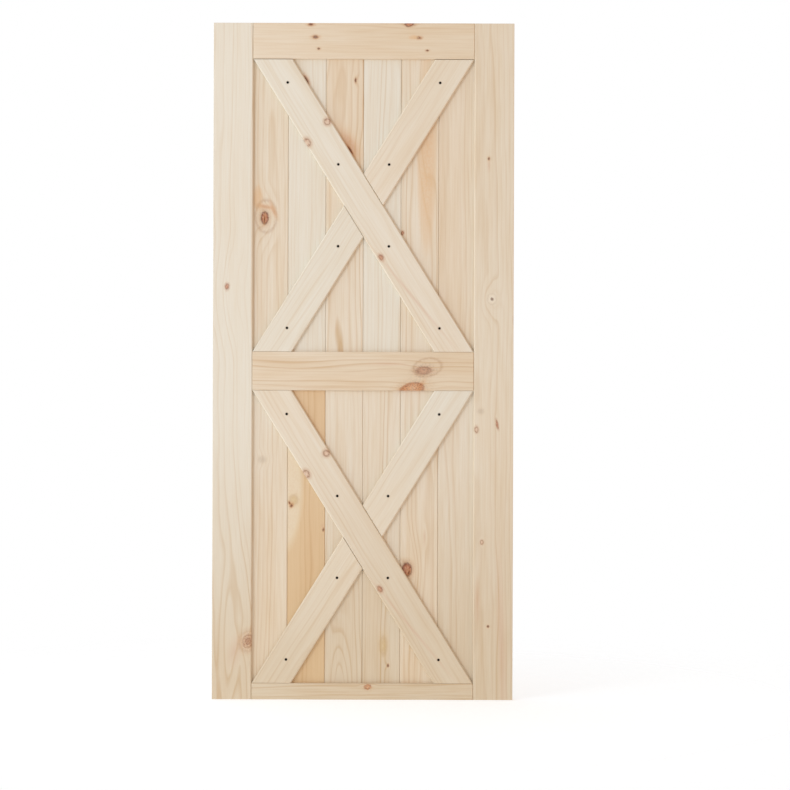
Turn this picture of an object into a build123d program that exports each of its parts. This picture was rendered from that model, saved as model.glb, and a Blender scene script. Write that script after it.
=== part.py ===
from build123d import *
from collections import namedtuple
import math
import os

# Sliding barn door slab in bare pine: a grooved frame of two stiles and three rails,
# two panels of tongued boards held in the grooves, and a cross of braces on each panel.
# Millimetres. X runs across the door, the braced front faces -Y and Z is up.
# The origin is the middle of the bottom edge, half way through the thickness.

# Overall size
door_width = 914.0
door_height = 2057.0
door_thickness = 35.0

# Frame
stile_width = 120.5
top_rail_height = 109.0
middle_rail_height = 117.5
bottom_rail_height = 49.5
stile_chamfer = 3.0  # long inner edges, front and back
rail_chamfer = 1.5  # edges beside a panel, front and back
shoulder_chamfer = 2.0  # rail ends, where they meet the stiles
outer_ease = 1.0  # outside edges of the door, front and back

# Groove round each panel opening, which also holds the tenons' haunches
groove_depth = 10.0
groove_clearance = 0.15  # on each face of a board or a tenon
haunch_end_gap = 0.5

# Mortise and tenon joints between rails and stiles
tenon_length = 60.0
tenon_inset = 14.0  # from the door's top and bottom edges
tenon_end_gap = 1.0

# Boards
board_count = 6
board_thickness = 12.0
board_side_gap = 3.0  # room to swell inside each stile groove
board_end_gap = 1.0  # room inside each rail groove
board_joint_gap = 0.4
board_vee = 2.0  # chamfer on each side of a joint, front and back
tongue_thickness = 4.0
tongue_length = 6.0
tongue_clearance = 0.2

# Braces
brace_width = 101.5
brace_chamfer = 3.0  # long front edges
brace_end_ease = 0.8  # cut ends, front edge
brace_gap = 0.4  # round each cut end and at the crossing
upper_head_gap = 1.6  # below the top rail, where the upper braces stop short

# Screws that hold the braces to the boards
screw_head_diameter = 7.0
screw_head_height = 2.0
screw_shank_diameter = 3.5
screw_point_length = 4.0
screw_tip_diameter = 0.4
screw_bite_share = 0.6  # of the board's thickness
screw_clearance = 0.1
screw_joint_offset = 2.8  # outermost screws, outwards from the joint of the two outer boards
screws_in_line = 4
screw_sides = 16  # flats in place of rounds, because there are many screws
drive_span = 4.0  # cross recess in the head
drive_slot = 1.0
drive_depth = 1.2

cut_overrun = 5.0  # how far a cutting tool reaches past the face that it enters

# Sizes that follow from those above
opening_width = door_width - 2 * stile_width
rails_height = top_rail_height + middle_rail_height + bottom_rail_height
opening_height = (door_height - rails_height) / 2
lower_opening_floor = bottom_rail_height
middle_rail_floor = lower_opening_floor + opening_height
upper_opening_floor = middle_rail_floor + middle_rail_height
top_rail_floor = upper_opening_floor + opening_height
half_thickness = door_thickness / 2
half_board = board_thickness / 2
half_groove = half_board + groove_clearance
haunch_length = groove_depth - haunch_end_gap
panel_width = opening_width + 2 * (groove_depth - board_side_gap)
board_pitch = panel_width / board_count
board_length = opening_height + 2 * (groove_depth - board_end_gap)
brace_thickness = half_thickness - half_board
screw_length = brace_thickness + board_thickness * screw_bite_share
standing = (Align.CENTER, Align.CENTER, Align.MIN)

Rail = namedtuple("Rail", "floor height panel_below panel_above")
rails = {
    "top_rail": Rail(top_rail_floor, top_rail_height, True, False),
    "middle_rail": Rail(middle_rail_floor, middle_rail_height, True, True),
    "bottom_rail": Rail(0, bottom_rail_height, False, True),
}
Panel = namedtuple("Panel", "floor brace_head_gap")
panels = {
    "upper": Panel(upper_opening_floor, upper_head_gap),
    "lower": Panel(lower_opening_floor, brace_gap),
}


def prism(points, plane, length):
    """An outline drawn on a plane and pushed out along the plane's normal."""
    return extrude(plane * Polygon(*points, align=None), amount=length, dir=plane.z_dir)


def grooved_edge(at, inward, chamfer_length):
    """Section of a member's edge beside a panel, from front to back, as (across, Y) points."""
    groove_floor = at + inward * groove_depth
    front = [
        (at + inward * chamfer_length, -half_thickness),
        (at, -half_thickness + chamfer_length),
        (at, -half_groove),
        (groove_floor, -half_groove),
    ]
    return front + [(across, -y) for across, y in reversed(front)]


def outer_edge(at, inward):
    """Section of a member's outside edge, from front to back."""
    front = [(at + inward * outer_ease, -half_thickness), (at, -half_thickness + outer_ease)]
    return front + [(across, -y) for across, y in reversed(front)]


def tongue_span(rail, inset):
    """Lowest and highest point of a rail's end tongue, which stops at a groove or inside the door's edge."""
    low = rail.floor + (groove_depth if rail.panel_below else inset)
    high = rail.floor + rail.height - (groove_depth if rail.panel_above else inset)
    return low, high


def rail_tongue(rail, length, inset):
    """Bar through a rail that stands out of both ends, as a pair of tenons or haunches."""
    low, high = tongue_span(rail, inset)
    bar = Box(opening_width + 2 * length, board_thickness, high - low, align=standing)
    return Pos(0, 0, low) * bar


def mortise(rail):
    """Pocket in the right-hand stile for one tenon, as wide as the groove that it opens into."""
    low, high = tongue_span(rail, tenon_inset)
    height = high - low + 2 * groove_clearance
    pocket = Box(2 * (tenon_length + tenon_end_gap), 2 * half_groove, height, align=standing)
    return Pos(opening_width / 2, 0, low - groove_clearance) * pocket


def right_stile():
    """Full-height stile, grooved inside and eased outside, with a mortise for each rail."""
    section = grooved_edge(opening_width / 2, 1, stile_chamfer) + outer_edge(door_width / 2, -1)[::-1]
    stile = prism(section, Plane.XY, door_height)
    end_edges = stile.edges().filter_by(Axis.X).group_by(Axis.Y)
    stile = chamfer(end_edges[0] + end_edges[-1], outer_ease)
    return stile - [mortise(rail) for rail in rails.values()]


def whole_rail(rail):
    """Rail grooved beside each panel and chamfered at its shoulders, with haunched tenons."""
    top = rail.floor + rail.height
    foot = grooved_edge(rail.floor, 1, rail_chamfer) if rail.panel_below else outer_edge(rail.floor, 1)
    head = grooved_edge(top, -1, rail_chamfer) if rail.panel_above else outer_edge(top, -1)
    section = [(y, z) for z, y in foot + head[::-1]]
    body = prism(section, Plane.YZ.offset(-opening_width / 2), opening_width)
    shoulder_edges = body.edges().filter_by(Axis.Z).group_by(Axis.Y)
    body = chamfer(shoulder_edges[0] + shoulder_edges[-1], shoulder_chamfer)
    return body + rail_tongue(rail, haunch_length, 0) + rail_tongue(rail, tenon_length, tenon_inset)


def board_section(index):
    """Plan of one board: grooved on its left, tongued on its right, square where a stile covers it."""
    left = index * board_pitch - panel_width / 2
    right = left + board_pitch
    left_edge = [(left, -half_board)]
    if index > 0:
        half_slot = tongue_thickness / 2 + tongue_clearance
        slot_floor = left + tongue_length + tongue_clearance
        left_edge = [
            (left + board_vee, -half_board),
            (left, -half_board + board_vee),
            (left, -half_slot),
            (slot_floor, -half_slot),
        ]
    right_edge = [(right, -half_board)]
    if index < board_count - 1:
        half_tongue = tongue_thickness / 2
        cheek = right - board_joint_gap
        right_edge = [
            (cheek - board_vee, -half_board),
            (cheek, -half_board + board_vee),
            (cheek, -half_tongue),
            (cheek + tongue_length, -half_tongue),
        ]
    front = left_edge[::-1] + right_edge
    return front + [(x, -y) for x, y in reversed(front)]


# The braces fill an opening corner to corner, with level ends against the rails.
brace_span = opening_width - 2 * brace_gap
brace_rise = opening_height - 2 * brace_gap
# Length of a level end that makes the brace as wide as it should be, square to its own edges
brace_edge_length = math.sqrt(brace_span**2 + brace_rise**2 - brace_width**2)
brace_end_length = (
    brace_width
    * (brace_rise * brace_edge_length - brace_width * brace_span)
    / (brace_rise**2 - brace_width**2)
)
brace_lean = (brace_span - brace_end_length) / brace_rise


def brace_outlines(head_gap):
    """Front view of a panel's braces about its centre: one whole, the other cut in two where they cross."""
    end_x = brace_span / 2
    end_z = brace_rise / 2
    corners = [
        (-end_x, end_z),
        (-end_x + brace_end_length, end_z),
        (end_x, -end_z),
        (end_x - brace_end_length, -end_z),
    ]
    long_outline = Polygon(*corners, align=None)
    crossing_outline = Polygon(*[(-x, z) for x, z in corners], align=None)
    halves = crossing_outline - offset(long_outline, brace_gap, kind=Kind.INTERSECTION)
    foot, head = halves.faces().sort_by(Axis.Y)
    outlines = {"long_brace": long_outline, "short_brace_head": head, "short_brace_foot": foot}
    room = Pos(0, -head_gap) * Rectangle(opening_width, opening_height)
    return {name: outline & room for name, outline in outlines.items()}


def brace(outline, panel_centre):
    """A brace lying on the boards, flush with the frame, with chamfered edges and eased ends."""
    boards_front = Plane.XZ.offset(half_board)
    plate = extrude(boards_front * outline, amount=brace_thickness, dir=boards_front.z_dir)
    long_edges = plate.faces().sort_by(Axis.Y)[0].edges().sort_by(SortBy.LENGTH)[-2:]
    plate = chamfer(long_edges, brace_chamfer)
    end_edges = plate.faces().sort_by(Axis.Y)[0].edges().sort_by(SortBy.LENGTH)[:2]
    return Pos(0, 0, panel_centre) * chamfer(end_edges, brace_end_ease)


def screw_places(panel_centre):
    """Where screws enter a panel's braces: evenly down the middle of both diagonals."""
    outermost = panel_width / 2 - board_pitch + screw_joint_offset
    reach = outermost / brace_lean
    heights = [reach - 2 * reach * i / (screws_in_line - 1) for i in range(screws_in_line)]
    face = -half_thickness
    return [Pos(side * brace_lean * z, face, panel_centre + z) for side in (-1, 1) for z in heights]


def screw_body():
    """A countersunk screw with a cross recess, its head at the origin, pointing into the door."""
    stations = [
        (0, screw_head_diameter),
        (screw_head_height, screw_shank_diameter),
        (screw_length - screw_point_length, screw_shank_diameter),
        (screw_length, screw_tip_diameter),
    ]
    rings = [Plane.XZ.offset(-depth) * RegularPolygon(size / 2, screw_sides) for depth, size in stations]
    bar = Box(drive_span, drive_depth, drive_slot, align=(Align.CENTER, Align.MIN, Align.CENTER))
    return loft(rings, ruled=True) - [bar, Rot(0, 90, 0) * bar]


def screw_hole():
    """Round countersunk hole that takes a screw, through the brace and into the boards."""
    head = screw_head_diameter / 2 + screw_clearance
    shank = screw_shank_diameter / 2 + screw_clearance
    flare = (head - shank) / screw_head_height
    depth = screw_length + screw_clearance
    half_section = [
        (0, -cut_overrun),
        (head + flare * cut_overrun, -cut_overrun),
        (shank, screw_head_height),
        (shank, depth),
        (0, depth),
    ]
    return revolve(Polygon(*half_section, align=None), Axis.Y)


parts = {"right_stile": right_stile()}
parts["left_stile"] = mirror(parts["right_stile"], Plane.YZ)
for name, rail in rails.items():
    parts[name] = whole_rail(rail)

screw = screw_body()
hole = screw_hole()
screws = []
for panel_name, panel in panels.items():
    panel_centre = panel.floor + opening_height / 2
    places = screw_places(panel_centre)
    screws += [place * screw for place in places]
    holes = [place * hole for place in places]
    board_floor = Plane.XY.offset(panel_centre - board_length / 2)
    for index in range(board_count):
        board = prism(board_section(index), board_floor, board_length)
        parts[f"{panel_name}_board_{index + 1}"] = board - holes
    for name, outline in brace_outlines(panel.brace_head_gap).items():
        parts[f"{panel_name}_{name}"] = brace(outline, panel_centre) - holes

parts["brace_screws"] = Compound(children=screws)

os.makedirs("parts", exist_ok=True)
for name, solid in parts.items():
    export_step(solid, f"parts/{name}.step")
    print(name, len(solid.solids()), round(solid.volume))
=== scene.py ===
import math
import bpy
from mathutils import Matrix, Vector


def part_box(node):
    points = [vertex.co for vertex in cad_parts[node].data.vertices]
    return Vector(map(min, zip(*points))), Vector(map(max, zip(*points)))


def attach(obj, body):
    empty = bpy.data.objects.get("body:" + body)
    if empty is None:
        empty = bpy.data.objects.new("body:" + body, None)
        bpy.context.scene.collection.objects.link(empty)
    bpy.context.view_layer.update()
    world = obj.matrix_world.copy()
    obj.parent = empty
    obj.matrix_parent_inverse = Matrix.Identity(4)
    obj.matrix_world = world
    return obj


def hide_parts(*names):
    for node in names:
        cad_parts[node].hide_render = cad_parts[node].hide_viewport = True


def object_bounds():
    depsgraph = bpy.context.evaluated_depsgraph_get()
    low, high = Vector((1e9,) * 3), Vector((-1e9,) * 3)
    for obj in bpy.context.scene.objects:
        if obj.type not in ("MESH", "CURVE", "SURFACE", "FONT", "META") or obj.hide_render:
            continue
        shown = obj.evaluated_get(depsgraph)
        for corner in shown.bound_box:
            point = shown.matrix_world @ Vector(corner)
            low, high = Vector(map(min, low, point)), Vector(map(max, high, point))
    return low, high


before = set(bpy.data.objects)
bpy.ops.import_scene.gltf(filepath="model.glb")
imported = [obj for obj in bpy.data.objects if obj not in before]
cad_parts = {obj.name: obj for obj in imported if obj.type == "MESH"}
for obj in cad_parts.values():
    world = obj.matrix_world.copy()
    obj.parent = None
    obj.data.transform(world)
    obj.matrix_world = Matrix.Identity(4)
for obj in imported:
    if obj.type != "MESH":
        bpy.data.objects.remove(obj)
cadLow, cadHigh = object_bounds()
print("frame loaded:", len(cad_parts), "CAD nodes")

mm = 0.001


def hexColour(code):  # sRGB hex to the linear values that sockets take
    parts = [int(code[i:i + 2], 16) / 255 for i in (1, 3, 5)]
    return tuple(c / 12.92 if c <= 0.04045 else ((c + 0.055) / 1.055) ** 2.4 for c in parts) + (1.0,)


def addNode(tree, kind, links=None, stops=None, **settings):
    node = tree.nodes.new("ShaderNode" + kind)
    for name, value in settings.items():
        setattr(node, name, value)
    for number, (place, colour) in enumerate(stops or []):
        elements = node.color_ramp.elements
        element = elements[number] if number < 2 else elements.new(place)
        element.position, element.color = place, colour
    for name, value in (links or {}).items():
        if isinstance(value, bpy.types.NodeSocket):
            tree.links.new(value, node.inputs[name])
        else:
            node.inputs[name].default_value = value
    return node


# Planed, unfinished pine: cream sapwood with faint tan latewood lines, soft streaks along the grain and small
# red-brown knots that the lines flow round. A dry, nearly matt face with a faint sheen on the latewood.
pine = {
    "tones": {
        "cream": "#E3DCCD",
        "straw": "#E4D9C7",
        "oat": "#E2D6C2",
        "wheat": "#E2D3BD",
        "tan": "#E0CFB6",
        "biscuit": "#D7C7AE",
        "honey": "#DCC09B",
        "amber": "#D6B88F",
    },
    "latewood": "#E0C49C",    # tint of the dense summer wood, laid over the tone
    "fibre": "#EBDCC0",       # tint of the darker fibres
    "blush": "#F7ECDD",       # tint of the warmer patches
    "endGrain": "#EFE2CB",    # tint of the sawn ends, whose open pores soak up light
    "ringWidth": 9.5,         # mm; wider than the 3 to 6 of real pine, which would blur at this distance
    "wander": 13.0,           # mm that a ring strays from a true circle
    "wanderSize": (80, 520),  # mm across and along the grain
    "fibreSize": (4, 140),    # mm; real fibres are finer than a pixel, so they are drawn coarser
    "mottleSize": (45, 420),  # mm, broad patches of tone
    "fleckSize": (5, 7),      # mm, how ragged the edge of a knot is
    "speckSize": (3, 5),      # mm, dark specks in the knots
    "speck": "#6A3A22",
    "roughness": (0.56, 0.7),
    "relief": 0.12,           # mm that the latewood stands proud
    "fibreRelief": 0.6,       # how far the fibres stand proud beside the latewood
    "seedStep": 7.31,         # sets the noise of one piece apart from the next one's
    "line": [(0.0, 0.05), (0.55, 0.12), (0.85, 1.0), (1.0, 0.05)],  # share of a ring's width, strength
    "yearPace": 0.37,         # how fast the years change from ring to ring
    "dryYear": 0.06,          # strength of the faintest lines
    "patchGain": 1.6,         # patches beside streaks
    "thinnest": 0.75,         # cover that is left where a knot is patchy
    "swellReach": 3.5,        # how far out the rings flow round a knot, 1 being its edge
    # the painted shade ring round each screw head keeps a nearly clean edge
    "ragged": {"screwDimpleShade": 0.2, "whorl": 0.65},  # edges that don't go by size
    "raggedMost": 1.3,
    "raggedWidth": 17,        # mm; other knots are as ragged as this over their width, up to the most
    # parts of each noise, or of the facing, over which these go from none to full
    "yearSpan": (0.38, 0.64),
    "streakSpan": (0.4, 0.75),
    "fleckSpan": (0.35, 0.6),
    "speckSpan": (0.48, 0.64),
    "sawnSpan": (0.74, 0.82),
}

# each kind of knot: how specked it is, then its stops, which are how far out (0 its middle, 0.5 its edge,
# 1 where its stain ends), colour and cover
knotKinds = {
    "red": (0.4, [
        (0.0, "#C98F6A", 0.75), (0.25, "#B46F48", 0.85), (0.42, "#92512F", 0.85),
        (0.55, "#B98660", 0.5), (1.0, "#DDBE98", 0.0)]),
    "sound": (0.4, [
        (0.0, "#BF7E55", 0.9), (0.2, "#B4683F", 0.9), (0.36, "#98502C", 0.95),
        (0.46, "#6E381F", 0.95), (0.58, "#C2946A", 0.5), (1.0, "#D9B488", 0.0)]),
    "orange": (0.6, [
        (0.0, "#D8A276", 0.8), (0.3, "#CC8C5B", 0.85), (0.44, "#AD6A3F", 0.85),
        (0.54, "#D2A87C", 0.3), (1.0, "#DDBE98", 0.0)]),
    "bark": (0.3, [
        (0.0, "#5E3219", 0.95), (0.22, "#7A4424", 0.95), (0.38, "#A5683A", 0.8),
        (0.6, "#CF9A66", 0.4), (1.0, "#DDB98C", 0.0)]),
    "ring": (0.2, [
        (0.0, "#D9B597", 0.6), (0.26, "#CFA283", 0.65), (0.43, "#8F5B3C", 0.85),
        (0.56, "#BE9068", 0.5), (1.0, "#D9BC98", 0.0)]),
    "whorl": (0.3, [
        (0.0, "#8A4E30", 0.95), (0.1, "#C08E68", 0.8), (0.19, "#8F5334", 0.9), (0.28, "#D0A682", 0.7),
        (0.38, "#A06A46", 0.8), (0.5, "#D6B18C", 0.5), (0.62, "#BD906A", 0.45), (1.0, "#DCC09A", 0.0)]),
    "soft": (0.8, [
        (0.0, "#B98062", 0.75), (0.25, "#B07556", 0.7), (0.42, "#9A6246", 0.75),
        (0.58, "#C79C7C", 0.4), (1.0, "#D9BC98", 0.0)]),
    "ochre": (0, [
        (0.0, "#CDB07A", 0.65), (0.3, "#C6A56E", 0.6), (0.5, "#BF9A68", 0.45),
        (0.75, "#D6BC90", 0.2), (1.0, "#D8B888", 0.0)]),
    "pin": (0, [
        (0.0, "#5A311C", 0.95), (0.24, "#784528", 0.95), (0.4, "#B58258", 0.5),
        (0.65, "#DDBF99", 0.25), (1.0, "#DCC4A4", 0.0)]),
    "eye": (0, [
        (0.0, "#5E4232", 0.9), (0.1, "#7A5A44", 0.8), (0.2, "#EFE5D5", 0.5), (0.36, "#E9DCC8", 0.3),
        (0.46, "#C4B098", 0.3), (0.58, "#E4D6C0", 0.1), (1.0, "#E4D6C0", 0.0)]),
    "oval": (0, [
        (0.0, "#B58A62", 0.0), (0.4, "#B58A62", 0.08), (0.49, "#A87B55", 0.4),
        (0.58, "#B58A62", 0.05), (1.0, "#B58A62", 0.0)]),
    "smudge": (0, [
        (0.0, "#B9A48D", 0.5), (0.35, "#BCA68D", 0.4), (0.55, "#CBB59A", 0.25),
        (0.75, "#D8C3A6", 0.1), (1.0, "#D8C3A6", 0.0)]),
    "resin": (0, [
        (0.0, "#BF8453", 0.7), (0.3, "#C99264", 0.6), (0.5, "#D2A478", 0.4),
        (0.75, "#DAB68E", 0.2), (1.0, "#DFC09A", 0.0)]),
    "stain": (0, [
        (0.0, "#DCB68B", 0.8), (0.3, "#DCB88E", 0.75), (0.45, "#DDBC95", 0.55),
        (0.56, "#DFC3A0", 0.1), (1.0, "#DFC3A0", 0.0)]),
    "streak": (0, [(0.0, "#C99C80", 0.4), (0.5, "#CFA688", 0.2), (1.0, "#D6B294", 0.0)]),
    "sap": (0, [
        (0.0, "#E2D2B8", 0.9), (0.42, "#E1D0B4", 0.9), (0.5, "#DFCBAA", 0.6),
        (0.58, "#DDC6A2", 0.1), (1.0, "#DDC6A2", 0.0)]),
    # painted shade: a near-black ring round each screw head, standing for the shadow in the dimple round a
    # driven screw, which is not modelled
    "screwDimpleShade": (0, [
        (0.0, "#120E0B", 1.0), (0.42, "#17120E", 0.95), (0.5, "#4A3A2C", 0.6),
        (0.6, "#A8927A", 0.2), (1.0, "#D2BFA4", 0.0)]),
}


# noise drawn out along the grain, size in mm across and along
def grainStreaks(tree, grain, size, detail, seed):
    stretch = (1 / (size[0] * mm), 1 / (size[0] * mm), 1 / (size[1] * mm))
    spot = addNode(tree, "VectorMath", {0: grain, 1: stretch, 2: (seed, seed * 0.6, seed * 1.7)},
                   operation="MULTIPLY_ADD").outputs["Vector"]
    return addNode(tree, "TexNoise", {"Vector": spot, "Scale": 1.0, "Detail": detail,
                                      "Roughness": 0.55}).outputs["Fac"]


def pineMaterial(nodeName, look):
    low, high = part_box(nodeName)
    centre, size = (low + high) / 2, high - low
    turn = math.radians(look["lean"])  # the way the grain runs, from upright
    length = abs(size.x * math.sin(turn)) + abs(size.z * math.cos(turn))
    seed = look["seed"] * pine["seedStep"]
    material = bpy.data.materials.new("planed pine " + nodeName)
    material.use_nodes = True
    tree = material.node_tree
    tree.nodes.clear()

    place = addNode(tree, "TexCoord").outputs["Object"]
    grain = addNode(tree, "Mapping", {"Vector": place, "Location": centre, "Rotation": (0, turn, 0)},
                    vector_type="TEXTURE").outputs["Vector"]  # across, through and along the piece
    along = addNode(tree, "SeparateXYZ", {"Vector": grain}).outputs["Z"]
    wander = grainStreaks(tree, grain, pine["wanderSize"], 2.0, seed)
    fibre = grainStreaks(tree, grain, pine["fibreSize"], 4.0, seed)
    mottle = grainStreaks(tree, grain, pine["mottleSize"], 3.0, seed)
    fleck = grainStreaks(tree, grain, pine["fleckSize"], 2.0, seed)
    speck = grainStreaks(tree, grain, pine["speckSize"], 1.0, seed)
    patchy = addNode(tree, "MapRange", {"Value": fleck, "From Min": pine["fleckSpan"][0],
                                        "From Max": pine["fleckSpan"][1],
                                        "To Min": pine["thinnest"], "To Max": 1.0}).outputs["Result"]

    # how far along the change from its lower or left end to the other
    drift = addNode(tree, "MapRange", {"Value": along, "From Min": (look["drift"][0] - 0.5) * length,
                                       "From Max": (look["drift"][1] - 0.5) * length},
                    interpolation_type="SMOOTHSTEP").outputs["Result"]
    figure = addNode(tree, "MapRange", {"Value": drift, "To Min": look["figure"][0],
                                        "To Max": look["figure"][1]}).outputs["Result"]

    # sawn ends: where the face looks along the grain
    facing = addNode(tree, "NewGeometry").outputs["Normal"]
    endOn = addNode(tree, "VectorMath", {0: facing, 1: (math.sin(turn), 0, math.cos(turn))},
                    operation="DOT_PRODUCT")
    endOn = addNode(tree, "Math", {0: endOn.outputs["Value"]}, operation="ABSOLUTE").outputs["Value"]
    sawn = addNode(tree, "MapRange", {"Value": endOn, "From Min": pine["sawnSpan"][0],
                                      "From Max": pine["sawnSpan"][1]}).outputs["Result"]
    figure = addNode(tree, "Math", {0: figure, 1: sawn}, operation="MAXIMUM").outputs["Value"]

    # growth rings: distance from the pith, with the trunk's taper, a slow wander and a swell at each knot
    pith = (-look["pith"][0] * mm, -look["pith"][1] * mm, 0)
    if look["stray"]:
        aside = addNode(tree, "MapRange", {"Value": drift, "To Min": pith[0],
                                           "To Max": pith[0] - look["stray"] * mm})
        pith = addNode(tree, "CombineXYZ", {"X": aside.outputs["Result"], "Y": pith[1]}).outputs["Vector"]
    flat = addNode(tree, "VectorMath", {0: grain, 1: (1, 1, 0), 2: pith}, operation="MULTIPLY_ADD")
    radius = addNode(tree, "VectorMath", {0: flat.outputs["Vector"]}, operation="LENGTH").outputs["Value"]
    field = addNode(tree, "Math", {0: along, 1: look["taper"] * mm, 2: radius},
                    operation="MULTIPLY_ADD").outputs["Value"]
    field = addNode(tree, "Math", {0: wander, 1: 2 * pine["wander"] * mm, 2: field},
                    operation="MULTIPLY_ADD").outputs["Value"]
    knots = []
    for kind, x, z, wide, tall, swirl, tilt in look["knots"]:
        near = addNode(tree, "Mapping", {"Vector": place, "Location": (x * mm, 0, z * mm),
                                         "Rotation": (0, turn + math.radians(tilt), 0),
                                         "Scale": (wide / 2 * mm, 1000, tall / 2 * mm)},
                       vector_type="TEXTURE").outputs["Vector"]  # 1000 takes it right through the wood
        far = addNode(tree, "VectorMath", {0: near}, operation="LENGTH").outputs["Value"]
        if kind in knotKinds:
            bySize = min(pine["raggedMost"], pine["raggedWidth"] / wide)  # small knots are the most ragged
            ragged = pine["ragged"].get(kind, bySize)
            knots.append((kind, far, ragged))
        if swirl:
            swell = addNode(tree, "MapRange", {"Value": far, "From Min": 0.0,
                                               "From Max": pine["swellReach"] if kind in knotKinds else 1.0,
                                               "To Min": 1.0, "To Max": 0.0},
                            interpolation_type="SMOOTHSTEP").outputs["Result"]
            field = addNode(tree, "Math", {0: swell, 1: swirl * pine["ringWidth"] * mm, 2: field},
                            operation="MULTIPLY_ADD").outputs["Value"]

    rings = addNode(tree, "Math", {0: field, 1: 1 / (pine["ringWidth"] * mm)},
                    operation="MULTIPLY").outputs["Value"]
    ring = addNode(tree, "Math", {0: rings}, operation="FRACT").outputs["Value"]
    line = addNode(tree, "ValToRGB", {"Fac": ring},
                   [(at, (grey, grey, grey, 1)) for at, grey in pine["line"]]).outputs["Color"]
    years = addNode(tree, "Math", {0: rings, 1: pine["yearPace"], 2: seed},
                    operation="MULTIPLY_ADD").outputs["Value"]
    year = addNode(tree, "TexNoise", {"W": years, "Scale": 1.0, "Detail": 2.0},
                   noise_dimensions="1D").outputs["Fac"]  # wet and dry years: some lines are stronger
    year = addNode(tree, "MapRange", {"Value": year, "From Min": pine["yearSpan"][0],
                                      "From Max": pine["yearSpan"][1],
                                      "To Min": pine["dryYear"], "To Max": 1.0}).outputs["Result"]
    year = addNode(tree, "Math", {0: year, 1: figure}, operation="MULTIPLY").outputs["Value"]
    late = addNode(tree, "Math", {0: line, 1: year}, operation="MULTIPLY").outputs["Value"]

    # tone from the piece's lower or left end to the other, then patches, latewood and fibres over it. A
    # darker lower end is partly painted shade of the light's falloff towards the door's foot, and partly the
    # wood's own tone.
    first, last = (hexColour(pine["tones"][tone]) for tone in look["tones"])
    colour = addNode(tree, "MixRGB", {"Fac": drift, "Color1": first, "Color2": last}).outputs["Color"]
    palest, darkest = pine["streakSpan"]
    most = pine["patchGain"] * look["streaks"]
    patch = addNode(tree, "MapRange", {"Value": mottle, "From Min": palest, "From Max": darkest,
                                       "To Min": 0.0, "To Max": most}).outputs["Result"]
    dark = addNode(tree, "MapRange", {"Value": fibre, "From Min": palest, "From Max": darkest,
                                      "To Min": 0.0, "To Max": look["streaks"]}).outputs["Result"]
    for cover, tint in ((patch, "blush"), (late, "latewood"), (dark, "fibre"), (sawn, "endGrain")):
        colour = addNode(tree, "MixRGB", {"Fac": cover, "Color1": colour, "Color2": hexColour(pine[tint])},
                         blend_type="MULTIPLY").outputs["Color"]
    for kind, far, ragged in knots:
        specked, stops = knotKinds[kind]
        edge = addNode(tree, "Math", {0: fleck, 1: ragged, 2: far}, operation="MULTIPLY_ADD").outputs["Value"]
        outward = addNode(tree, "MapRange", {"Value": edge, "From Min": ragged / 2,
                                             "From Max": ragged / 2 + 2.0})
        face = addNode(tree, "ValToRGB", {"Fac": outward.outputs["Result"]},
                       [(at, hexColour(code)[:3] + (cover,)) for at, code, cover in stops])
        shade, cover = face.outputs["Color"], face.outputs["Alpha"]
        if specked:
            dots = addNode(tree, "MapRange", {"Value": speck, "From Min": pine["speckSpan"][0],
                                              "From Max": pine["speckSpan"][1],
                                              "To Min": 0.0, "To Max": specked}).outputs["Result"]
            shade = addNode(tree, "MixRGB", {"Fac": dots, "Color1": shade,
                                             "Color2": hexColour(pine["speck"])}).outputs["Color"]
        # the painted shade round the screw heads is never patchy
        if kind != "screwDimpleShade":
            cover = addNode(tree, "Math", {0: cover, 1: patchy}, operation="MULTIPLY").outputs["Value"]
        colour = addNode(tree, "MixRGB", {"Fac": cover, "Color1": colour, "Color2": shade}).outputs["Color"]

    rough = addNode(tree, "MapRange", {"Value": late, "From Min": 0.0, "From Max": 1.0,
                                       "To Min": pine["roughness"][1], "To Max": pine["roughness"][0]})
    height = addNode(tree, "Math", {0: fibre, 1: pine["fibreRelief"], 2: late}, operation="MULTIPLY_ADD")
    bump = addNode(tree, "Bump", {"Height": height.outputs["Value"], "Strength": 0.4,
                                  "Distance": pine["relief"] * mm})
    shader = addNode(tree, "BsdfPrincipled", {"Base Color": colour, "Roughness": rough.outputs["Result"],
                                              "Normal": bump.outputs["Normal"], "IOR": 1.45})
    addNode(tree, "OutputMaterial", {"Surface": shader.outputs["BSDF"]})
    return material


# Where the screws are, from the frame: four down the middle of each diagonal, evenly spaced.
screwLow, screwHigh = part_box("brace_screws")
screw = {
    "headWidth": 7.0, "rim": 0.25, "headDepth": 2.0, "shankWidth": 3.5, "rootWidth": 2.7,  # mm
    "pitch": 1.6, "threadStart": 7.0, "pointLength": 4.0, "tipWidth": 0.4, "sides": 32,
    "valley": (0.4, 0.7),  # shares of the pitch where the bottom of the thread begins and ends
    "slotLength": 4.0, "slotWidth": 1.0, "slotDepth": 1.2,
    "inLine": 4, "turn": 23,  # degrees from one screw's slots to the next one's
    "sharpFrom": 35,  # degrees; flatter edges are shaded smooth
    "dimpleShadeWidth": 1.15,  # width of the painted shade ring round each head, as a share of the head's
    "black": ("#020202", "#070706"),
    "crystal": 0.3,  # mm, grain of the coat
}
panelMiddle = {part: (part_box(part + "_board_1")[0].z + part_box(part + "_board_1")[1].z) / 2
               for part in ("lower", "upper")}
headRadius = Vector((0.5, 0.5)) * screw["headWidth"] * mm
outerScrew = Vector((screwHigh.x, screwHigh.z - panelMiddle["upper"])) - headRadius
lean = math.degrees(math.atan2(outerScrew.x, outerScrew.y))
# how far from the middle of the X each screw of a line is, from the top one down
screwShares = [1 - 2 * step / (screw["inLine"] - 1) for step in range(screw["inLine"])]

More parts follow.
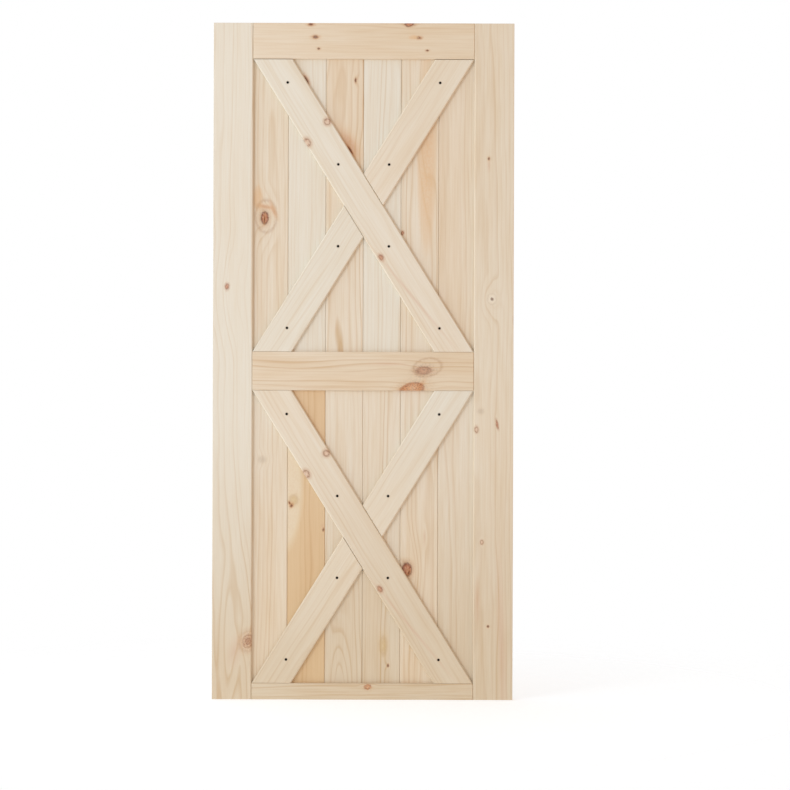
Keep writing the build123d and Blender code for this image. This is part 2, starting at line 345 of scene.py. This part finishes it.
# what each piece of pine looks like: lean of the grain in degrees; tones and figure (the strength of the
# lines) at its lower or left end and at the other; drift, the shares of its length between which they
# change; streaks, the strength of fibres and patches; pith, mm across and through from the piece's middle;
# stray, mm that the pith moves across over the drift; taper, mm a metre; and knots: kind, x, z, width and
# length in mm, swirl (how many rings flow round it) and tilt from the grain. A swell only bends the rings.
upright = {"lean": 0, "drift": (0.0, 1.0), "taper": 9, "stray": 0, "figure": (0.45, 0.45), "streaks": 0.36,
           "knots": []}
level = {**upright, "lean": 90}
# where a stile or a lower board is darker at its lower end, that is partly painted shade of the light's
# falloff towards the door's foot, and partly the wood's own tone
pineLooks = {
    "left_stile": {**upright, "tones": ("biscuit", "cream"), "drift": (0.0, 0.42), "pith": (-8, 50),
                   "taper": 5, "stray": -62, "figure": (0.75, 0.35), "streaks": 0.2,
                   "knots": [("red", -414.5, 1255, 12, 18, 0.3, 8), ("swell", -408, 1225, 150, 460, 2.6, 0),
                             ("whorl", -347, 177, 40, 50, 0.8, 20), ("streak", -389, 146, 28, 66, 0, 12),
                             ("swell", -407, 150, 84, 720, 2.4, 0)]},
    "right_stile": {**upright, "tones": ("biscuit", "oat"), "drift": (0.0, 0.42), "pith": (-50, 75),
                    "taper": 5, "figure": (0.5, 0.32), "streaks": 0.33,
                    "knots": [("pin", 380, 1646, 9, 13, 0.5, 0), ("streak", 381, 1626, 7, 30, 0, 0),
                              ("eye", 391, 1219, 30, 36, 0.3, 0), ("swell", 391, 1216, 90, 190, 1.6, 0),
                              ("smudge", 457, 1155, 8, 30, 0, 0), ("smudge", 358, 878, 20, 18, 0, 0),
                              ("red", 408, 838, 7, 27, 0.3, -12), ("ring", 345, 822, 11, 18, 0.4, 0),
                              ("ring", 362.6, 480, 10, 13, 0.3, 0), ("pin", 381.6, 223.6, 10, 11, 0.3, 0),
                              ("streak", 424, 150, 18, 420, 0, -2), ("streak", 350, 300, 12, 90, 0, 0)]},
    "top_rail": {**level, "tones": ("wheat", "tan"), "pith": (20, 80),
                 "knots": [("bark", -162, 2053, 10, 20, 0.3, 0), ("bark", -148, 2014, 11, 22, 0.4, 0),
                           ("pin", -137.5, 1979, 9, 13, 0.3, 0), ("bark", 166, 2013, 10, 18, 0.4, 0),
                           ("stain", 150, 2014, 14, 30, 0, 0), ("pin", 192, 1974, 9, 14, 0.3, 0),
                           ("sound", 138, 2054, 14, 27, 0.5, 0)]},
    "middle_rail": {**level, "tones": ("wheat", "tan"), "pith": (80, 45), "taper": 12, "figure": (0.58, 0.5),
                    "knots": [("swell", -150, 1004, 70, 720, 1.3, 2), ("soft", 184, 1001, 26, 50, 0.5, -4),
                              ("oval", 196, 1011, 56, 88, 0, -10), ("streak", 76, 1021, 9, 80, 0, 0),
                              ("resin", 174, 953, 12, 42, 0, -55),
                              ("resin", 122, 947, 14, 30, 0, -20), ("orange", 149, 943, 46, 80, 0.4, -14)]},
    "bottom_rail": {**level, "tones": ("biscuit", "biscuit"), "pith": (-60, 50), "figure": (0.6, 0.6),
                    "streaks": 0.5,
                    "knots": [("orange", 17, 39, 18, 23, 0.4, 0)]},
    "upper_board_1": {**upright, "tones": ("straw", "oat"), "pith": (10, 45), "figure": (0.55, 0.55),
                      "knots": [("stain", -322, 1525, 30, 80, 0, 0), ("oval", -297, 1470, 66, 100, 0, 0),
                                ("resin", -274, 1488, 12, 44, 0, -24), ("sound", -301, 1465, 24, 38, 0.6, 0),
                                ("bark", -302, 1460, 5, 26, 0, 4), ("swell", -298, 1460, 100, 260, 2.2, 0),
                                ("resin", -300, 1499, 40, 12, 0, 12)]},
    "upper_board_2": {**upright, "tones": ("cream", "cream"), "pith": (70, 45), "figure": (0.35, 0.35),
                      "streaks": 0.25,
                      "knots": [("bark", -177, 1884, 16, 32, 0.8, -25)]},
    "upper_board_3": {**upright, "tones": ("straw", "wheat"), "pith": (-20, 60), "figure": (0.8, 0.65),
                      # two dark marks hugging the upper long brace's edge, tilted to run parallel to it
                      "knots": [("pin", -25.8, 1885, 9, 19, 0.5, 0), ("resin", -46, 1690, 40, 90, 0.4, -lean),
                                ("bark", -41, 1672, 8, 38, 0, -lean)]},
    "upper_board_4": {**upright, "tones": ("cream", "cream"), "pith": (60, 50), "figure": (0.32, 0.38),
                      "streaks": 0.25},
    "upper_board_5": {**upright, "tones": ("straw", "straw"), "pith": (0, 50), "figure": (0.85, 0.75),
                      "knots": [("swell", 192, 1813, 80, 900, 3.0, 0), ("stain", 192, 1672, 60, 620, 0, 0),
                                ("red", 119, 1420, 9, 12, 0, 0)]},
    "upper_board_6": {**upright, "tones": ("wheat", "wheat"), "pith": (-45, 55), "figure": (0.3, 0.3)},
    "lower_board_1": {**upright, "tones": ("tan", "straw"), "pith": (60, 50), "figure": (0.55, 0.35),
                      "knots": [("smudge", -307, 729, 26, 22, 0.8, 0)]},
    "lower_board_2": {**upright, "tones": ("amber", "honey"), "pith": (45, 55), "figure": (0.35, 0.3),
                      "streaks": 0.2,
                      "knots": [("sap", -229, 625, 88, 330, 0, 2), ("ochre", -210, 606, 26, 30, 0.5, 0),
                                ("bark", -217, 589, 10, 15, 0.6, 30), ("bark", -223, 597, 7, 11, 0, -20),
                                ("pin", -119.8, 516, 9, 13, 0.5, 0), ("streak", -122, 528, 8, 16, 0, 0)]},
    "lower_board_3": {**upright, "tones": ("biscuit", "straw"), "pith": (-5, 45), "figure": (0.8, 0.3),
                      "knots": [("swell", -66, -10, 100, 700, 4.6, 0)]},
    "lower_board_4": {**upright, "tones": ("biscuit", "straw"), "pith": (60, 60), "figure": (0.65, 0.55),
                      "knots": [("pin", 78.7, 103, 9, 13, 0.5, 10), ("ochre", 64, 163, 22, 56, 0, 0)]},
    "lower_board_5": {**upright, "tones": ("tan", "straw"), "pith": (20, 55), "figure": (0.55, 0.45),
                      "knots": [("sound", 135, 395, 31, 42, 0.6, 0), ("bark", 141, 386, 7, 17, 0, 20),
                                ("swell", 140, 390, 110, 360, 2.4, 0), ("bark", 110, 411, 9, 12, 0.3, 0),
                                ("streak", 189, 494.6, 6, 30, 0.3, 0)]},
    "lower_board_6": {**upright, "tones": ("biscuit", "straw"), "pith": (-50, 60), "figure": (0.35, 0.3)},
}
# where a brace is darker at its lower end, that is partly painted shade of the light's falloff towards the
# door's foot, and partly the wood's own tone
braceTones = {
    "upper": {"long": ("straw", "cream"), "head": ("straw", "oat"), "foot": ("cream", "cream")},
    "lower": {"long": ("biscuit", "straw"), "head": ("oat", "cream"), "foot": ("biscuit", "oat")},
}
calm = {**upright, "figure": (0.28, 0.22), "streaks": 0.28}
for part, tones in braceTones.items():
    rise = panelMiddle[part] / mm
    # painted shade: a near-black ring under each screw head, in place of the dimple's shadow
    screwDimpleShade = screw["dimpleShadeWidth"] * screw["headWidth"]
    driven = {way: [("screwDimpleShade", way * share * outerScrew.x / mm, rise + share * outerScrew.y / mm,
                     screwDimpleShade, screwDimpleShade, 0, 0) for share in screwShares]
              for way in (-1, 1)}
    half = len(screwShares) // 2
    pineLooks[part + "_long_brace"] = {
        **calm, "lean": -lean, "tones": tones["long"], "pith": (60, 70),
        "knots": driven[-1] + [("ring", -111, rise + 254, 20, 20, 0.4, 0),
                               ("ring", -172, rise + 191, 20, 26, 0.8, 0),
                               ("red", 53.5, rise - 158, 14, 20, 0.5, 0),
                               ("streak", 149, rise - 276, 7, 300, 0, -8)]}
    pineLooks[part + "_short_brace_head"] = {
        **calm, "lean": lean, "tones": tones["head"], "pith": (5, 60), "figure": (0.3, 0.35),
        "knots": driven[1][:half]}
    pineLooks[part + "_short_brace_foot"] = {
        **calm, "lean": lean, "tones": tones["foot"], "pith": (70, 60), "knots": driven[1][half:]}
for number, (nodeName, look) in enumerate(pineLooks.items()):
    material = pineMaterial(nodeName, {**look, "seed": number + 1})
    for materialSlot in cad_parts[nodeName].material_slots:
        materialSlot.material = material
print("pine grained on", len(pineLooks), "pieces")


# Black phosphated steel, as on drywall screws: a dull, crystalline, almost black coat with hardly any shine.
def blackPhosphate():
    material = bpy.data.materials.new("black phosphated steel")
    material.use_nodes = True
    tree = material.node_tree
    tree.nodes.clear()
    place = addNode(tree, "TexCoord").outputs["Object"]
    crystals = addNode(tree, "TexNoise", {"Vector": place, "Scale": 1 / (screw["crystal"] * mm),
                                          "Detail": 3.0}).outputs["Fac"]
    colour = addNode(tree, "ValToRGB", {"Fac": crystals},
                     [(0.35, hexColour(screw["black"][0])),
                      (0.7, hexColour(screw["black"][1]))]).outputs["Color"]
    rough = addNode(tree, "MapRange", {"Value": crystals, "To Min": 0.6, "To Max": 0.85}).outputs["Result"]
    shader = addNode(tree, "BsdfPrincipled", {"Base Color": colour, "Roughness": rough, "IOR": 1.5,
                                              "Specular IOR Level": 0.1})  # pores swallow most of the shine
    addNode(tree, "OutputMaterial", {"Surface": shader.outputs["BSDF"]})
    return material


def ringOut(depth, width, before):  # pushes the open end of the screw further in and sets its width
    bpy.ops.mesh.extrude_region_move(TRANSFORM_OT_translate={"value": (0, (depth - before[0]) * mm, 0)})
    wider = width / before[1]
    bpy.ops.transform.resize(value=(wider, 1, wider), center_override=(0, depth * mm, 0))
    return depth, width


def braceScrew():
    bpy.ops.object.select_all(action="DESELECT")
    bpy.ops.mesh.primitive_circle_add(vertices=screw["sides"], radius=screw["headWidth"] / 2 * mm,
                                      fill_type="NGON", location=(0, 0, 0),
                                      rotation=(math.radians(90), 0, 0))
    body = bpy.context.object
    bpy.ops.object.transform_apply(location=True, rotation=True, scale=True)
    bpy.ops.object.mode_set(mode="EDIT")
    bpy.ops.mesh.select_all(action="SELECT")
    length = (screwHigh.y - screwLow.y) / mm
    ridges = int((length - screw["pointLength"] - screw["threadStart"]) / screw["pitch"])
    stations = [(screw["rim"], screw["headWidth"]), (screw["headDepth"], screw["shankWidth"]),
                (screw["threadStart"], screw["shankWidth"])]
    for ridge in range(ridges):  # the thread, as rings
        start = screw["threadStart"] + ridge * screw["pitch"]
        stations += [(start + screw["valley"][0] * screw["pitch"], screw["rootWidth"]),
                     (start + screw["valley"][1] * screw["pitch"], screw["rootWidth"]),
                     (start + screw["pitch"], screw["shankWidth"])]
    stations += [(length - screw["pointLength"], screw["rootWidth"]), (length, screw["tipWidth"])]
    reached = (0, screw["headWidth"])
    for depth, width in stations:
        reached = ringOut(depth, width, reached)
    bpy.ops.mesh.select_all(action="SELECT")
    bpy.ops.mesh.normals_make_consistent(inside=False)
    bpy.ops.object.mode_set(mode="OBJECT")
    for turn in (0, 90):  # the cross recess, one slot at a time
        bpy.ops.mesh.primitive_cube_add(size=1.0, location=(0, 0, 0), rotation=(0, math.radians(turn), 0))
        punch = bpy.context.object
        punch.scale = (screw["slotLength"] * mm, 2 * screw["slotDepth"] * mm, screw["slotWidth"] * mm)
        bpy.ops.object.transform_apply(location=True, rotation=True, scale=True)
        cut = body.modifiers.new("crossRecess", "BOOLEAN")
        cut.operation, cut.solver, cut.object = "DIFFERENCE", "EXACT", punch
        bpy.context.view_layer.objects.active = body
        bpy.ops.object.modifier_apply(modifier=cut.name)
        bpy.data.objects.remove(punch)
    return body


screwCoat = blackPhosphate()
pattern = braceScrew()
pattern.data.materials.append(screwCoat)
count = 0
for part, rise in panelMiddle.items():
    for side in (-1, 1):
        for share in screwShares:
            count += 1
            piece = pattern.copy()
            piece.data = pattern.data.copy()
            piece.name = f"braceScrew{count:02d}"
            bpy.context.collection.objects.link(piece)
            piece.location = (side * share * outerScrew.x, screwLow.y, rise + share * outerScrew.y)
            piece.rotation_euler = (0, math.radians(screw["turn"] * count), 0)
            bpy.ops.object.select_all(action="DESELECT")
            piece.select_set(True)
            bpy.context.view_layer.objects.active = piece
            bpy.ops.object.transform_apply(location=True, rotation=True, scale=True)
            bpy.ops.object.shade_smooth_by_angle(angle=math.radians(screw["sharpFrom"]))
            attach(piece, "root")
            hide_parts("brace_screws")
bpy.data.objects.remove(pattern)
print("screws driven:", count)


# Plain soft studio: a white floor that melts into the white background, a large soft box on the left, a
# bright strip far left that picks out the edges, and warm, dimmer surroundings on the right.
studio = {
    "floorReach": (0.5, 1.9),  # m from the door where the floor begins to melt away and where it ends
    "floorTone": "#C4C7C9",
    "floorGlow": 0.55,
    "background": 1.0,
    "around": [(0.0, "#FFFCF6", 2.1), (0.12, "#EFF7FF", 0.82),  # from left to right: place, tint, strength
               (0.5, "#EFF7FF", 0.82), (0.95, "#FCC890", 0.78)],
    "fromBelow": 1.3,          # how much brighter the light from below the horizon is
    "below": -0.4,             # and how far down it is all of that
    "key": {"at": (-3.0, -3.4, 1.9), "aim": (0, 0, 1.2), "size": (1.5, 2.2), "power": 57, "tint": "#FAFBFF"},
}
bpy.ops.object.select_all(action="DESELECT")
bpy.ops.mesh.primitive_circle_add(vertices=96, radius=studio["floorReach"][1], fill_type="NGON",
                                  location=(0, 0, 0))
floor = bpy.context.object
floor.name = "floor"
floorPaint = bpy.data.materials.new("matt white studio paint")
floorPaint.use_nodes = True
tree = floorPaint.node_tree
tree.nodes.clear()
away = addNode(tree, "VectorMath", {0: addNode(tree, "TexCoord").outputs["Object"]}, operation="LENGTH")
melt = addNode(tree, "MapRange", {"Value": away.outputs["Value"], "From Min": studio["floorReach"][0],
                                  "From Max": studio["floorReach"][1], "To Min": 1.0, "To Max": 0.0},
               interpolation_type="SMOOTHSTEP")
paint = addNode(tree, "BsdfPrincipled", {"Base Color": hexColour(studio["floorTone"]), "Roughness": 0.9,
                                         "Emission Color": hexColour("#FFFFFF"),
                                         "Emission Strength": studio["floorGlow"],
                                         "Alpha": melt.outputs["Result"]})
addNode(tree, "OutputMaterial", {"Surface": paint.outputs["BSDF"]})
floor.data.materials.append(floorPaint)

world = bpy.data.worlds.new("white studio")
bpy.context.scene.world = world
world.use_nodes = True
tree = world.node_tree
tree.nodes.clear()
way = addNode(tree, "SeparateXYZ", {"Vector": addNode(tree, "TexCoord").outputs["Generated"]})
side = addNode(tree, "MapRange", {"Value": way.outputs["X"], "From Min": -1.0,
                                  "From Max": 1.0}).outputs["Result"]
brightest = max(strength for place, code, strength in studio["around"])
light = addNode(tree, "ValToRGB", {"Fac": side},
                [(place, tuple(c * strength / brightest for c in hexColour(code)[:3]) + (1.0,))
                 for place, code, strength in studio["around"]]).outputs["Color"]
lift = addNode(tree, "MapRange", {"Value": way.outputs["Z"], "From Min": studio["below"], "From Max": 0.0,
                                  "To Min": studio["fromBelow"] * brightest,
                                  "To Max": brightest}).outputs["Result"]
light = addNode(tree, "VectorMath", {0: light, "Scale": lift}, operation="SCALE").outputs["Vector"]
seen = addNode(tree, "LightPath").outputs["Is Camera Ray"]
light = addNode(tree, "MixRGB", {"Fac": seen, "Color1": light,
                                 "Color2": (studio["background"],) * 3 + (1.0,)})
sky = addNode(tree, "Background", {"Color": light.outputs["Color"], "Strength": 1.0})
addNode(tree, "OutputWorld", {"Surface": sky.outputs["Background"]})

lamp = studio["key"]
bpy.ops.object.light_add(type="AREA", location=lamp["at"])
keyLight = bpy.context.object
keyLight.name = "keyLight"
keyLight.data.shape = "RECTANGLE"
keyLight.data.size, keyLight.data.size_y = lamp["size"]
keyLight.data.energy = lamp["power"]
keyLight.data.color = hexColour(lamp["tint"])[:3]
keyLight.rotation_euler = (Vector(lamp["aim"]) - Vector(lamp["at"])).to_track_quat("-Z", "Y").to_euler()
print("studio lit")

# The camera looks square at the front; the door stands left of and above the middle of the 790 x 790 picture.
shot = {"lens": 100.0, "sensor": 36.0, "mmPerPixel": 3.04, "doorCentre": (363.0, 361.5), "pixels": 790,
        "roll": -0.18}  # degrees; the picture is a little out of plumb
scale = shot["mmPerPixel"] * mm
middle = (cadLow + cadHigh) / 2
eye = Vector((middle.x + (shot["pixels"] / 2 - shot["doorCentre"][0]) * scale,
              cadLow.y - shot["pixels"] * scale * shot["lens"] / shot["sensor"],
              middle.z - (shot["pixels"] / 2 - shot["doorCentre"][1]) * scale))
bpy.ops.object.camera_add(location=eye, rotation=(math.radians(90), math.radians(shot["roll"]), 0))
camera = bpy.context.object
camera.data.lens = shot["lens"]
camera.data.sensor_width = shot["sensor"]
camera.data.clip_end = 100
bpy.context.scene.camera = camera
bpy.context.scene.view_settings.view_transform = "Standard"
print("camera set")
